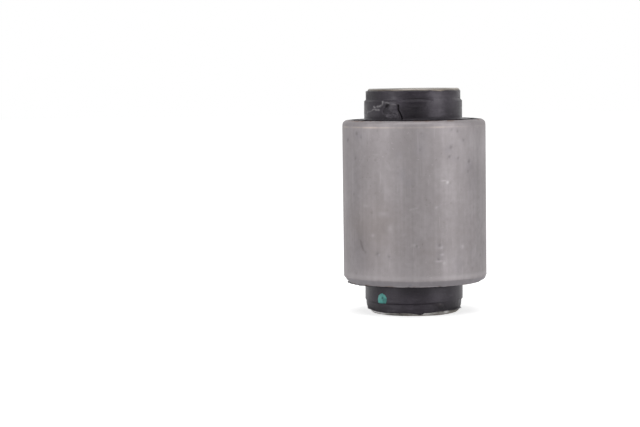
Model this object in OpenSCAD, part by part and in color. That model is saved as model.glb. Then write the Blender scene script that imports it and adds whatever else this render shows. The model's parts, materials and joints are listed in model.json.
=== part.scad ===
// Bonded rubber and metal bush: a steel outer sleeve, a thick steel inner sleeve
// and a rubber body moulded between them, which climbs the inner sleeve as a
// stepped neck at both ends. All sizes are in millimetres. The bush stands on the
// lower end of its inner sleeve, and the bore runs along +Z.

/* [Outer sleeve] */
// Outside diameter of the outer sleeve
sleeve_d = 50; // [47:0.5:70]
// Wall thickness of the outer sleeve
sleeve_wall = 2.5; // [2:0.1:3.5]
// Length of the outer sleeve
sleeve_len = 56.5; // [20:0.5:120]
// Width of the rounded lead-in at the upper rim
lead_in_w = 1.35; // [0.6:0.05:1.8]
// Height of the rounded lead-in at the upper rim
lead_in_h = 2.15; // [1.2:0.05:4]
// How far the lead-in bellies out from a straight cone
lead_in_belly = 0.3; // [0.05:0.05:0.35]
// Width of the plain chamfer at the lower rim
chamfer_w = 1.6; // [0.6:0.05:1.8]
// Height of the plain chamfer at the lower rim
chamfer_h = 2.1; // [0.8:0.05:4]

/* [Inner sleeve] */
// Outside diameter of the inner sleeve
inner_d = 32; // [24:0.5:34]
// Diameter of the bore that takes the bolt
bore_d = 16.5; // [8:0.5:22]
// How far the inner sleeve stands out past each rim of the outer sleeve
stand_out = 10.8; // [9.5:0.1:20]
// Bevel round the outside of each end face
inner_bevel = 0.45; // [0.2:0.05:0.7]
// Bevel round each mouth of the bore
bore_bevel = 0.4; // [0.2:0.05:1]
// Length of bare metal left at each end of the inner sleeve
bare_end = 0.8; // [0.7:0.05:1.5]

/* [Rubber] */
// Thickness of the rubber skin near the ends of the inner sleeve
skin_t = 0.5; // [0.35:0.05:0.8]
// Rounding on the end of the skin
skin_round = 0.25; // [0.1:0.05:0.3]
// Thickness of the neck below the step
neck_t = 1.1; // [1:0.05:2]
// Height of the step above the upper rim
neck_up_h = 6.8; // [4:0.1:7.5]
// Height of the step below the lower rim
neck_down_h = 6.4; // [4:0.1:8]
// Rounding on the edge of the step
neck_round = 0.3; // [0.1:0.05:0.4]
// Fillet at the foot of the neck
neck_fillet = 0.8; // [0.3:0.05:1.4]

/* [Ring groove] */
// Depth of the groove between the shoulder and the outer sleeve
groove_depth = 3; // [2:0.1:8]
// Width of the groove at its floor
groove_w = 1.2; // [0.6:0.1:1.8]
// Rounding where the shoulder rolls over into the groove
lip_round = 1.8; // [0.8:0.1:2]
// Thickness of the film of rubber left on the outer sleeve
film_t = 0.4; // [0.2:0.05:0.8]
// How far the film stops short of the rim
film_drop = 0.3; // [0.1:0.05:0.8]

/* [Mould rings] */
// Height of the first ring above the step of the upper neck
ring_first = 1.2; // [0.8:0.1:2]
// Distance from one ring to the next
ring_pitch = 1.4; // [1:0.1:3]
// Width of a ring at the surface
ring_w = 0.5; // [0.3:0.05:0.7]
// Depth of a ring
ring_depth = 0.12; // [0.05:0.01:0.2]

/* [Tear in the upper neck] */
// Place of the tear round the neck, in degrees from +X
tear_angle = -108.7; // [-180:0.1:180]
// Height of the middle of the tear above the upper rim
tear_h = 3.1; // [2:0.1:4]
// Length of the tear
tear_len = 5; // [2:0.1:6]
// Width of the open tear
tear_w = 0.35; // [0.2:0.05:0.8]
// Depth of the tear
tear_depth = 0.8; // [0.3:0.05:0.9]
// Lean of the tear from upright, in degrees
tear_lean = 20; // [0:1:40]
// How far the loosened rubber beside the tear stands up
flap_lift = 0.3; // [0.1:0.05:0.5]
// Radius of the swelling of that loosened rubber
flap_r = 10; // [7:0.5:13]
// Distance round the neck from the tear to the middle of the swelling, in degrees
flap_shift = 12.5; // [8:0.5:20]

/* [Hidden] */
$fn = 96;

// Straight steps along a rounded edge
edge_steps = 6;
// Spare length by which a cutting shape runs past the surface that it cuts
overrun = 1;

sleeve_r = sleeve_d / 2;
sleeve_in_r = sleeve_r - sleeve_wall;
inner_r = inner_d / 2;
bore_r = bore_d / 2;
total_len = sleeve_len + 2 * stand_out;
low_rim = stand_out;
high_rim = stand_out + sleeve_len;

skin_r = inner_r + skin_t;
skin_h = stand_out - bare_end;
neck_r = inner_r + neck_t;
film_r = sleeve_in_r - film_t;

// Room between the neck and the groove, which limits the two roundings there
shoulder_room = film_r - groove_w - neck_r;
foot_round = min(neck_fillet, 0.4 * shoulder_room);
roll_round = min(lip_round, 0.55 * shoulder_room, groove_depth - groove_w / 2);

// Rings that fit on the skin between the step and the end of the rubber
ring_room = skin_h - neck_up_h - ring_first - ring_w;
ring_count = max(0, floor(ring_room / ring_pitch) + 1);

// Points on an arc about [cx, cy] from angle a0 to angle a1
function arc(cx, cy, r, a0, a1) = [
    for (i = [0 : edge_steps])
        let (a = a0 + (a1 - a0) * i / edge_steps)
            [cx + r * cos(a), cy + r * sin(a)]
];

// Points from p to q on a shallow arc that stands off the straight line by belly,
// on the right of the way from p to q
function bowed(p, q, belly) =
    let (
        d = q - p,
        len = norm(d),
        side = [d[1], -d[0]] / len,
        r = (len * len / 4 + belly * belly) / (2 * belly),
        half = asin(len / 2 / r),
        mid = (p + q) / 2 + side * (belly - r)
    ) [
        for (i = [0 : edge_steps])
            let (a = half * (2 * i / edge_steps - 1))
                mid + side * r * cos(a) + d / len * r * sin(a)
    ];

// One mould ring on the skin: a shallow V with its middle at height h
function ring_points(h) = [
    [skin_r, h + ring_w / 2],
    [skin_r - ring_depth, h],
    [skin_r, h - ring_w / 2]
];

// Outline of one end of the rubber as [radius, height above the rim], from the
// inner sleeve outwards: skin, rings, step, neck, foot, shoulder, groove and film
function end_outline(neck_h, rings) = concat(
    [[inner_r, skin_h]],
    arc(skin_r - skin_round, skin_h - skin_round, skin_round, 90, 0),
    [
        for (i = [rings - 1 : -1 : 0])
            each ring_points(neck_h + ring_first + i * ring_pitch)
    ],
    [[skin_r, neck_h]],
    arc(neck_r - neck_round, neck_h - neck_round, neck_round, 90, 0),
    arc(neck_r + foot_round, foot_round, foot_round, 180, 270),
    arc(film_r - groove_w - roll_round, -roll_round, roll_round, 90, 0),
    arc(film_r - groove_w / 2, groove_w / 2 - groove_depth, groove_w / 2, 180, 360),
    [[film_r, -film_drop], [sleeve_in_r, -film_drop]]
);

// The steel tube that is pressed into the housing: a rounded lead-in at the upper
// rim and a plain chamfer at the lower one
module outer_sleeve() {
    lead_in = bowed(
        [sleeve_r, high_rim - lead_in_h],
        [sleeve_r - lead_in_w, high_rim],
        lead_in_belly
    );
    outline = concat(
        [[sleeve_in_r, low_rim], [sleeve_r - chamfer_w, low_rim]],
        [[sleeve_r, low_rim + chamfer_h]],
        lead_in,
        [[sleeve_in_r, high_rim]]
    );
    color([0.57, 0.55, 0.55])
        rotate_extrude()
            polygon(outline);
}

// The thick steel tube that the bolt clamps through its bore
module inner_sleeve() {
    outline = [
        [bore_r + bore_bevel, 0],
        [inner_r - inner_bevel, 0],
        [inner_r, inner_bevel],
        [inner_r, total_len - inner_bevel],
        [inner_r - inner_bevel, total_len],
        [bore_r + bore_bevel, total_len],
        [bore_r, total_len - bore_bevel],
        [bore_r, bore_bevel]
    ];
    color([0.52, 0.49, 0.46])
        rotate_extrude()
            polygon(outline);
}

// The whole turned form of the rubber, before the tear
module rubber_form() {
    upper = [for (p = end_outline(neck_up_h, ring_count)) [p[0], high_rim + p[1]]];
    lower = [for (p = end_outline(neck_down_h, 0)) [p[0], low_rim - p[1]]];
    last = len(lower) - 1;
    rotate_extrude()
        polygon(concat(upper, [for (i = [last : -1 : 0]) lower[i]]));
}

// Swelling of the rubber that has come loose beside the tear, kept clear of the
// inner sleeve by the skin of rubber below it
module torn_flap() {
    rotate([0, 0, tear_angle - flap_shift])
        intersection() {
            translate([neck_r + flap_lift - flap_r, 0, high_rim + tear_h])
                sphere(r = flap_r);
            translate([(inner_r + neck_r) / 2, -flap_r, high_rim])
                cube([neck_t + flap_lift, 2 * flap_r, neck_up_h]);
        }
}

// The open crack, cut from outside through most of the neck
module tear_cut() {
    rotate([0, 0, tear_angle])
        translate([neck_r + overrun - (tear_depth + overrun) / 2, 0, high_rim + tear_h])
            rotate([tear_lean, 0, 0])
                cube([tear_depth + overrun, tear_w, tear_len], center = true);
}

// The rubber, bonded to both sleeves: stepped necks, rolled shoulders, a ring
// groove at each end, and a tear with a loosened flap in the upper neck
module rubber_body() {
    color([0.20, 0.19, 0.20])
        difference() {
            union() {
                rubber_form();
                torn_flap();
            }
            tear_cut();
        }
}

outer_sleeve();
rubber_body();
inner_sleeve();
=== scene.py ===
"""Looks of a bonded rubber and metal bush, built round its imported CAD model.

Lengths are metres, and MM turns a size in millimetres into metres. Heights start at
the foot of the part. Places round the bore are degrees from +X, and the photograph
looks at the bush from about -93 degrees. The tables of marks and of worn or ragged
places give heights and sizes in millimetres, and strengths from 0 to 1.
"""

import itertools
import json
import math
from collections import namedtuple
from functools import partialmethod

import bpy
import numpy as np
from mathutils import Matrix, Vector

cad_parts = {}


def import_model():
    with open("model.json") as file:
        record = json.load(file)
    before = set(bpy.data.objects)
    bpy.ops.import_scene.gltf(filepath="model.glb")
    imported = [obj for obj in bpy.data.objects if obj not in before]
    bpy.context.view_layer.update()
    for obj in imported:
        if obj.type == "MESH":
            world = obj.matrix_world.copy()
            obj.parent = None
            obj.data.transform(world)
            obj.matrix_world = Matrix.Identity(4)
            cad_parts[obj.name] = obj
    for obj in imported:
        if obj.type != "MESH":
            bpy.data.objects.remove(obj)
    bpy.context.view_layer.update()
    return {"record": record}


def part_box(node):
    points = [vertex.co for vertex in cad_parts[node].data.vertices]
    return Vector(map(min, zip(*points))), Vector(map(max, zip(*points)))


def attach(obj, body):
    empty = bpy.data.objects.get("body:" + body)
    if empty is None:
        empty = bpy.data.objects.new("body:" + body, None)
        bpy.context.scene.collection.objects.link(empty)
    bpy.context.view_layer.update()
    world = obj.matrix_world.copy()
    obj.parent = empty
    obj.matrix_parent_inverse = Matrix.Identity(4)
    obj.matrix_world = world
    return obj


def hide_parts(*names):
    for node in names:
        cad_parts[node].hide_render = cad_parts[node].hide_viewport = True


MM = 0.001
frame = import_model()


# Sizes that the CAD model gives
def across(node):
    """Outer radius of a round node, to a tenth of a millimetre."""
    low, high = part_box(node)
    return round(max(high.x, high.y, -low.x, -low.y), 4)


def mount_radius(name):
    """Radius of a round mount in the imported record."""
    found = [m for m in frame["record"]["mounts"] if m["name"] == name]
    return found[0]["dims"]["r_mm"] * MM


SLEEVE_R = across("outer_sleeve")
SLEEVE_IN_R = across("rubber_body")
INNER_R = across("inner_sleeve")
BORE_R = mount_radius("bolt_bore")
LOW_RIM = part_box("outer_sleeve")[0].z
HIGH_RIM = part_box("outer_sleeve")[1].z
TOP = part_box("inner_sleeve")[1].z
BARE_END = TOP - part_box("rubber_body")[1].z

# Sizes of the finer forms
LEAD_IN_W = 1.35 * MM
LEAD_IN_H = 2.15 * MM
CHAMFER_W = 1.6 * MM
CHAMFER_H = 2.1 * MM
INNER_BEVEL = 0.45 * MM
BORE_BEVEL = 0.4 * MM
SKIN_R = INNER_R + 0.5 * MM
NECK_R = INNER_R + 1.1 * MM
NECK_UP_H = 6.8 * MM
NECK_DOWN_H = 6.4 * MM
GROOVE_DEPTH = 3.0 * MM
GROOVE_W = 1.2 * MM
FILM_R = SLEEVE_IN_R - 0.4 * MM
FLASH_R = SLEEVE_R - LEAD_IN_W - 0.2 * MM
FLASH_T = 0.18 * MM
# How far the middle of the lead-in lies inside the tube's side and below its rim
KNEE_IN = 0.136 * MM
KNEE_DROP = 0.737 * MM
# How far the rubber sits to one side of the bore at each end
UPPER_ASIDE = 0.2 * MM
LOWER_ASIDE = 0.46 * MM
# Middle of the fine steps round the bore, on the steel and on the torn rubber
SEEN_SIDE = -93
TORN_SIDE = -125
# How far the outer edge of the foot is worn back, round the bore
FOOT_WORN = [
    (-180, 0.4), (-150, 0.4), (-135, 0.15), (-65, 0.15), (-50, 0.5), (-38, 1),
    (-10, 0.95), (15, 0.4), (60, 0.1), (140, 0.2),
]

# Corners of an outline, with the radius of their rounding in mm, and the step in mm
# into which the stretch that follows is cut
Corner = namedtuple("Corner", "r h rounding step")


def rounded(corners):
    """Points along a closed outline, whose corners are rounded, or sharp with 0."""
    spots = [np.array([c.r, c.h]) for c in corners]
    count = len(corners)
    arcs = []
    for i, corner in enumerate(corners):
        if corner.rounding == 0:
            arcs.append([spots[i]])
            continue
        back = spots[i - 1] - spots[i]
        ahead = spots[(i + 1) % count] - spots[i]
        reach = 0.48 * min(np.linalg.norm(back), np.linalg.norm(ahead))
        back /= np.linalg.norm(back)
        ahead /= np.linalg.norm(ahead)
        half = math.acos(float(np.clip(back @ ahead, -1, 1))) / 2
        run = min(corner.rounding * MM / math.tan(half), reach)
        radius = run * math.tan(half)
        middle = back + ahead
        middle /= np.linalg.norm(middle)
        centre = spots[i] + middle * radius / math.sin(half)
        start = spots[i] + back * run - centre
        turn = math.pi - 2 * half
        if start[0] * back[1] - start[1] * back[0] > 0:
            turn = -turn
        parts = max(2, math.ceil(abs(turn) * radius / min(corner.step * MM, radius)))
        bends = [turn * k / parts for k in range(parts + 1)]
        arcs.append([
            centre + [
                start[0] * math.cos(b) - start[1] * math.sin(b),
                start[0] * math.sin(b) + start[1] * math.cos(b),
            ]
            for b in bends
        ])
    path = []
    for i, corner in enumerate(corners):
        path += arcs[i]
        end = arcs[i][-1]
        follow = arcs[(i + 1) % count][0]
        parts = max(1, math.ceil(np.linalg.norm(follow - end) / (corner.step * MM)))
        path += [end + (follow - end) * k / parts for k in range(1, parts)]
    return np.array(path)


def turned_over(corners, last_step):
    """The corners in the opposite order, each stretch with its own step. The stretch
    after the last corner gets last_step."""
    steps = [c.step for c in reversed(corners[:-1])] + [last_step]
    return [c._replace(step=step) for c, step in zip(reversed(corners), steps)]


def at_height(corners, level, sign):
    """The corners with heights counted up or down from a level."""
    return [c._replace(h=level + sign * c.h) for c in corners]


def closer_near(middle, spread, fine, coarse):
    """Angles for a full turn, fine within spread of the middle, coarse elsewhere."""
    near = np.arange(middle - spread, middle + spread, fine)
    far = np.arange(middle + spread, middle - spread + 360, coarse)
    return np.radians(np.concatenate([near, far]))


# Random unevenness, the same in each run, from numbers that scatter cells and seeds
CELL_X, CELL_Y, CELL_Z, SEED = 73856093, 19349663, 83492791, 15485863
MIX_A, MIX_B = 1274126177, 2246822519


def bumps(points, size, seed):
    """Smooth random values from -1 to 1, about one to each length of size."""
    places = points / size
    cells = np.floor(places).astype(np.int64)
    inside = places - cells
    inside = inside * inside * (3 - 2 * inside)
    total = np.zeros(points.shape[:-1])
    for corner in itertools.product((0, 1), repeat=3):
        at = cells + corner
        mixed = at[..., 0] * CELL_X ^ at[..., 1] * CELL_Y ^ at[..., 2] * CELL_Z
        mixed = (mixed ^ seed * SEED) * MIX_A
        mixed = (mixed ^ (mixed >> 15)) * MIX_B
        value = ((mixed >> 12) & 0xFFFF) / 32767.5 - 1
        weight = np.ones(total.shape)
        for axis, side in enumerate(corner):
            weight = weight * (inside[..., axis] if side else 1 - inside[..., axis])
        total += weight * value
    return total


def layered(points, size, seed):
    """Random values in three layers, each finer and weaker than the one before."""
    total = 0
    for k in range(3):
        total = total + bumps(points, size / 2 ** k, seed + 17 * k) / 2 ** k
    return total / 1.6


def smooth(low, high, value):
    """0 below low, 1 above high, and a soft ramp between."""
    t = np.clip((value - low) / (high - low), 0, 1)
    return t * t * (3 - 2 * t)


def spot(distance, size):
    """1 in the middle of a soft round spot, and almost 0 at twice its size."""
    return np.exp(-((distance / size) ** 2))


# Objects and meshes
def placed(name, data):
    """A new object in the scene."""
    made = bpy.data.objects.new(name, data)
    bpy.context.collection.objects.link(made)
    return made


def make_piece(name, points, faces, marks, material):
    """A smooth mesh object on the root body, without the points that no face uses."""
    used, faces = np.unique(faces, return_inverse=True)
    faces = faces.reshape(-1, 4)
    mesh = bpy.data.meshes.new(name)
    mesh.from_pydata(points.reshape(-1, 3)[used].tolist(), [], faces.tolist())
    for key, value in marks.items():
        layer = mesh.attributes.new(key, "FLOAT", "POINT")
        layer.data.foreach_set("value", value.reshape(-1)[used].astype(np.float32))
    mesh.shade_smooth()
    mesh.materials.append(material)
    made = placed(name, mesh)
    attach(made, "root")
    print(name, "has", 2 * len(faces), "triangles")
    return made


class Ring:
    """A grid of points that a closed outline makes on its way round the bore.
    Distances round the bore are taken along a circle of the ring's own radius, unless
    another is given. Presses and marks act where the mask allows it."""

    def __init__(self, corners, angles, radius):
        path = rounded(corners)
        self.angle = np.repeat(angles[None, :], len(path), axis=0)
        self.r = np.repeat(path[:, :1], len(angles), axis=1)
        self.h = np.repeat(path[:, 1:], len(angles), axis=1)
        self.radius = radius
        self.mask = 1
        self.marks = {}

    def points(self):
        """Where the grid's points are now."""
        x, y = self.r * np.cos(self.angle), self.r * np.sin(self.angle)
        return np.stack([x, y, self.h], -1)

    def off(self, degrees, radius=None):
        """Distance round the bore from a place in degrees, below 0 on one side."""
        turn = (self.angle - math.radians(degrees) + math.pi) % (2 * math.pi) - math.pi
        return turn * (radius or self.radius)

    def near(self, degrees, far, close, radius=None):
        """1 within close mm round the bore from a place, and 0 beyond far mm."""
        return smooth(far * MM, close * MM, np.abs(self.off(degrees, radius)))

    def away(self, degrees, high, radius=None):
        """Distance on the unrolled surface from a place and a height in mm."""
        return np.hypot(self.off(degrees, radius), self.h - high * MM)

    def oval(self, degrees, high, wide, tall, radius=None):
        """Distance from the middle of an oval, 1 at its edge, from its place, height
        and half sizes in mm."""
        sideways = self.off(degrees, radius) / (wide * MM)
        return np.hypot(sideways, (self.h - high * MM) / (tall * MM))

    def from_line(self, line):
        """Distance on the unrolled surface to a line of (degrees, height in mm)."""
        nearest = np.full(self.r.shape, 1.0)
        for (turn_a, high_a), (turn_b, high_b) in zip(line[:-1], line[1:]):
            x = self.off(turn_a)
            y = self.h - high_a * MM
            dx = math.radians(turn_b - turn_a) * self.radius
            dy = (high_b - high_a) * MM
            t = np.clip((x * dx + y * dy) / (dx * dx + dy * dy), 0, 1)
            nearest = np.minimum(nearest, np.hypot(x - t * dx, y - t * dy))
        return nearest

    def along(self, places):
        """Values from a list of (degrees, value), joined up right round the bore."""
        at, values = zip(*places)
        return np.interp(np.degrees(self.angle), at, values, period=360)

    def beyond(self, radius, low, high):
        """0 where the surface is less than low mm past a radius, 1 above high mm."""
        return smooth(radius + low * MM, radius + high * MM, self.r)

    def above(self, level, low, high):
        """0 where the surface is less than low mm over a level, 1 above high mm."""
        return smooth(level + low * MM, level + high * MM, self.h)

    def band(self, level, width):
        """1 at a level, and almost 0 from twice the width in mm on."""
        return spot(self.h - level, width * MM)

    def press(self, depth, shape):
        """Presses a shape in by depth mm where it is 1, or lifts it if below 0."""
        self.r = self.r - depth * MM * self.mask * shape

    def mark(self, name, value):
        """Keeps the stronger of two values as a named mark for the material."""
        old = self.marks.get(name, 0 * self.r)
        self.marks[name] = np.maximum(old, self.mask * value)

    def patches(self, name, places):
        """Marks soft oval patches of (place, height, half width, half height,
        strength)."""
        for *oval, strength in places:
            self.mark(name, strength * spot(self.oval(*oval), 1))

    def piece(self, name, material, node):
        """Makes the closed mesh, and lets it stand for a CAD node."""
        rows, turns = self.r.shape
        i, j = np.indices(self.r.shape)
        below, beside = (i + 1) % rows, (j + 1) % turns
        corners = [(i, j), (i, beside), (below, beside), (below, j)]
        faces = np.stack([a * turns + b for a, b in corners], -1)
        made = make_piece(name, self.points(), faces, self.marks, material)
        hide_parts(node)
        return made


# Shader nodes
class Shading:
    """The nodes of a material or of the world, from an empty tree on."""

    def __init__(self, owner):
        owner.use_nodes = True
        self.owner = owner
        self.tree = owner.node_tree
        self.tree.nodes.clear()

    def node(self, kind, inputs=None, **settings):
        """Adds a node; an input may be a value or another node's socket."""
        made = self.tree.nodes.new("ShaderNode" + kind)
        for key, value in settings.items():
            setattr(made, key, value)
        for key, value in (inputs or {}).items():
            if isinstance(value, bpy.types.NodeSocket):
                self.tree.links.new(value, made.inputs[key])
            else:
                made.inputs[key].default_value = value
        return made

    def place(self, along=1, turned=0):
        """The place on the object, with heights scaled so that patterns run up and
        down, or at a slant where the place is turned by some degrees first."""
        where = self.node("TexCoord").outputs["Object"]
        slant = (math.radians(turned), math.radians(turned), 0)
        inputs = {"Vector": where, "Rotation": slant, "Scale": (1, 1, along)}
        return self.node("Mapping", inputs).outputs[0]

    def noise(self, place, size, detail, rough):
        """Noise from 0 to 1 with features of about the given size in mm."""
        inputs = {"Scale": 1 / (size * MM), "Detail": detail, "Roughness": rough}
        inputs["Vector"] = place
        return self.node("TexNoise", inputs).outputs["Fac"]

    def ramp(self, value, low, high, to_low=0, to_high=1):
        """Maps low..high onto to_low..to_high and holds it there outside."""
        inputs = {"Value": value, "From Min": low, "From Max": high}
        inputs.update({"To Min": to_low, "To Max": to_high})
        return self.node("MapRange", inputs).outputs[0]

    def sums(self, operation, *values):
        """Joins several values by one kind of sum."""
        total = values[0]
        for value in values[1:]:
            pair = {0: total, 1: value}
            total = self.node("Math", pair, operation=operation).outputs[0]
        return total

    times = partialmethod(sums, "MULTIPLY")
    plus = partialmethod(sums, "ADD")
    minus = partialmethod(sums, "SUBTRACT")
    most = partialmethod(sums, "MAXIMUM")

    def mark(self, name):
        """A mark that a mesh carries."""
        return self.node("Attribute", attribute_name=name).outputs["Fac"]

    def tone(self, first, *layers):
        """A colour under layers of (amount, colour)."""
        made = (*first, 1)
        for amount, colour in layers:
            inputs = {0: amount, 6: made, 7: (*colour, 1)}
            made = self.node("Mix", inputs, data_type="RGBA").outputs[2]
        return made

    def surface(self, tone, rough, relief, depth, strength, fixed):
        """Joins up the shader, its fixed inputs and a bump whose full height is depth
        in mm, and gives the material."""
        bump = {"Height": relief, "Distance": depth * MM, "Strength": strength}
        normal = self.node("Bump", bump).outputs[0]
        inputs = {"Base Color": tone, "Roughness": rough, "Normal": normal, **fixed}
        shader = self.node("BsdfPrincipled", inputs)
        self.node("OutputMaterial", {"Surface": shader.outputs[0]})
        return self.owner


# Materials
def sleeve_steel():
    """Dull drawn steel: faint streaks along the tube, cloudy patches, clusters of dark
    and light specks, hairline scratches, worn bright edges and a little rust, with
    painted highlights, painted reflections and painted shade in some of its marks."""
    s = Shading(bpy.data.materials.new("sleeve_steel"))
    where = s.place()
    streaks = s.noise(s.place(0.03), 2.2, 4, 0.6)
    clouds = s.noise(s.place(0.6), 9, 5, 0.6)
    mottle = s.noise(where, 1.8, 4, 0.6)
    grain = s.noise(where, 0.35, 3, 0.7)
    specks = s.noise(where, 0.9, 3, 0.6)
    hairs = s.noise(s.place(0.08, 35), 0.9, 2, 0.5)
    crowded = s.ramp(clouds, 0.45, 0.62)
    tone = s.tone(
        (0.310, 0.287, 0.294),
        (s.ramp(streaks, 0.34, 0.66), (0.368, 0.341, 0.351)),
        (s.ramp(clouds, 0.38, 0.66, 0, 0.8), (0.291, 0.268, 0.272)),
        (s.ramp(mottle, 0.50, 0.70, 0, 0.35), (0.395, 0.369, 0.382)),
        (s.ramp(mottle, 0.50, 0.30, 0, 0.35), (0.248, 0.227, 0.231)),
        (s.times(s.ramp(specks, 0.60, 0.70, 0, 0.5), crowded), (0.185, 0.160, 0.156)),
        (s.times(s.ramp(specks, 0.36, 0.28, 0, 0.5), crowded), (0.49, 0.46, 0.475)),
        (s.ramp(hairs, 0.66, 0.72, 0, 0.2), (0.47, 0.44, 0.45)),
        (s.mark("brown"), (0.225, 0.190, 0.175)),
        # dull: stains, and painted shade on the chamfer and over the highlights
        (s.mark("dull"), (0.215, 0.207, 0.236)),
        # light: scuffs and scratches, and painted light, highlights and reflections
        (s.mark("light"), (0.54, 0.505, 0.525)),
        # pit: pits and scratches, and painted shade on the upper rim's edge in front
        (s.mark("pit"), (0.130, 0.110, 0.108)),
        (s.mark("worn"), (0.62, 0.525, 0.475)),
        (s.times(s.mark("rust"), s.ramp(grain, 0.3, 0.6)), (0.165, 0.085, 0.048)),
    )
    rough = s.ramp(s.plus(clouds, s.times(mottle, 0.5)), 0.5, 1.0, 0.54, 0.64)
    relief = s.plus(s.times(streaks, 0.35), s.times(mottle, 0.6), s.times(grain, 0.3))
    return s.surface(tone, rough, relief, 0.02, 0.6, {"Metallic": 0.9})


def inner_steel():
    """Turned steel that has gone a little brown, with rust spots, a darker band under
    the upper end, a painted highlight on the bevels, and a painted reflection of the
    floor and painted shade at the foot.
    """
    s = Shading(bpy.data.materials.new("inner_steel"))
    where = s.place()
    patches = s.noise(where, 5, 5, 0.6)
    mottle = s.noise(where, 1.2, 4, 0.65)
    grain = s.noise(where, 0.3, 3, 0.7)
    spots = s.times(s.ramp(patches, 0.55, 0.68), s.ramp(mottle, 0.42, 0.58))
    rust = s.most(spots, s.times(s.mark("rust"), s.ramp(grain, 0.25, 0.5)))
    tone = s.tone(
        (0.242, 0.230, 0.214),
        (s.ramp(patches, 0.35, 0.65), (0.196, 0.186, 0.168)),
        (s.ramp(mottle, 0.52, 0.70, 0, 0.5), (0.30, 0.286, 0.268)),
        (rust, (0.112, 0.066, 0.030)),
        # Painted shade at the foot, and a darker band under the upper end
        (s.mark("painted_shade_and_darkening"), (0.060, 0.056, 0.055)),
        # worn: turning marks and rubbed faces, and a painted highlight on the bevels
        (s.mark("worn"), (0.48, 0.44, 0.40)),
        # pale: painted reflection of the floor on the foot's edge
        (s.mark("pale"), (0.90, 0.88, 0.88)),
    )
    rough = s.ramp(patches, 0.3, 0.7, 0.38, 0.55)
    rough = s.minus(rough, s.times(s.mark("faced"), 0.24))
    relief = s.plus(s.times(mottle, 0.6), grain)
    return s.surface(tone, rough, relief, 0.02, 0.5, {"Metallic": 0.85})


def bush_rubber():
    """Black rubber with a dull gloss and smeared dust, pale where it is torn, and with
    painted shade in its crack, grooves, hollows and darkest places.
    """
    s = Shading(bpy.data.materials.new("rubber"))
    where = s.place()
    dust = s.noise(where, 4, 5, 0.6)
    smears = s.noise(s.place(3.5), 2.6, 4, 0.65)
    grain = s.noise(where, 0.4, 3, 0.7)
    tone = s.tone(
        (0.0085, 0.0058, 0.0098),
        (s.ramp(dust, 0.38, 0.65), (0.022, 0.0175, 0.0245)),
        (s.ramp(smears, 0.52, 0.72, 0, 0.6), (0.048, 0.042, 0.052)),
        (s.mark("chalk"), (0.115, 0.108, 0.118)),
        (s.mark("torn"), (0.38, 0.365, 0.375)),
        (s.mark("brown"), (0.060, 0.036, 0.026)),
        # shade and dark: painted shade, the dark one rougher as well
        (s.mark("shade"), (0.0040, 0.0030, 0.0045)),
        (s.mark("dark"), (0.0030, 0.0022, 0.0032)),
    )
    rough = s.ramp(s.plus(smears, dust), 0.7, 1.3, 0.29, 0.41)
    rough = s.minus(rough, s.times(s.mark("shade"), 0.06))
    rough = s.plus(rough, s.times(s.mark("dark"), 0.5))
    relief = s.plus(grain, s.times(smears, 1.5))
    tint = {"Specular Tint": (0.96, 0.90, 1.0, 1)}
    return s.surface(tone, rough, relief, 0.03, 0.5, tint)


def dab_paint():
    """Sea green paint, thin in one spot and on one side, with a painted highlight on
    the other.
    """
    s = Shading(bpy.data.materials.new("dab_paint"))
    clouds = s.noise(s.place(), 0.9, 3, 0.6)
    tone = s.tone(
        (0.052, 0.310, 0.280),
        (s.ramp(clouds, 0.35, 0.65), (0.085, 0.365, 0.330)),
        (s.mark("thin"), (0.001, 0.075, 0.066)),
        # pale: a painted highlight on the left side of the dab
        (s.mark("pale"), (0.130, 0.390, 0.365)),
    )
    return s.surface(tone, 0.4, clouds, 0.03, 0.5, {})


# Outer sleeve
# Pits as (place, height, size, depth)
PITS = [
    (-63.1, 58.2, 0.55, 0.06), (-64.1, 55.1, 0.4, 0.04), (-56.2, 54.5, 0.35, 0.04),
    (-44.3, 53.1, 0.5, 0.05), (-45.5, 49.8, 0.4, 0.04), (-138.8, 61.9, 0.4, 0.05),
    (-144, 63, 0.5, 0.04), (-158, 60.7, 0.5, 0.04), (-146, 54.6, 0.45, 0.03),
    (-123.4, 22.3, 0.45, 0.05), (-113.4, 21.3, 0.35, 0.04), (-73.3, 24.9, 0.45, 0.06),
    (-74.2, 20.3, 0.4, 0.04), (-62, 64.2, 0.35, 0.03), (-56.4, 63.7, 0.35, 0.03),
    (-50.5, 60.6, 0.3, 0.03), (-91.5, 25, 0.3, 0.03), (-14, 20.4, 0.5, 0.05),
]
# Notch near the right edge, in the same order of values
NOTCH = (-3, 57.2, 0.9, 0.12)
# Dark scratch as a line of (place, height)
SCRATCH = [(-140.8, 26.2), (-139.4, 24.6), (-137.5, 23.3), (-135.5, 22.4)]
# Light scuffs, and broad patches of painted light such as the painted reflections
# down the left edge, as (place, height, half width, half height, strength)
LIGHT_MARKS = [
    (-66, 46.4, 0.45, 0.45, 1), (-69, 47, 1, 0.25, 0.5), (-124, 56, 2.2, 0.5, 0.22),
    (-127.5, 28.4, 0.7, 0.6, 0.3), (-134, 38.5, 1.3, 0.6, 0.22),
    (-118, 36, 1.6, 0.7, 0.2), (-112, 31, 0.9, 1.2, 0.25), (-72, 24.4, 0.8, 0.6, 0.4),
    (-71, 21.9, 0.7, 0.4, 0.4), (-73.5, 19.7, 1.4, 0.35, 0.5),
    (-69.5, 19, 0.6, 0.5, 0.4), (-52, 24.3, 0.7, 0.7, 0.4),
    (-93.2, 25.3, 0.7, 0.5, 0.3), (-75.5, 38, 0.5, 0.4, 0.35),
    (-60, 62.5, 2.6, 1.6, 0.24), (-54, 59.5, 2.4, 2.2, 0.22), (-37, 60.5, 5, 4, 0.26),
    (-19, 57.5, 5, 8, 0.35), (-90, 63, 6, 1.5, 0.1), (-165, 16, 4, 4, 0.25),
    (-167, 44, 2.6, 20, 0.24),
]
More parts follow.
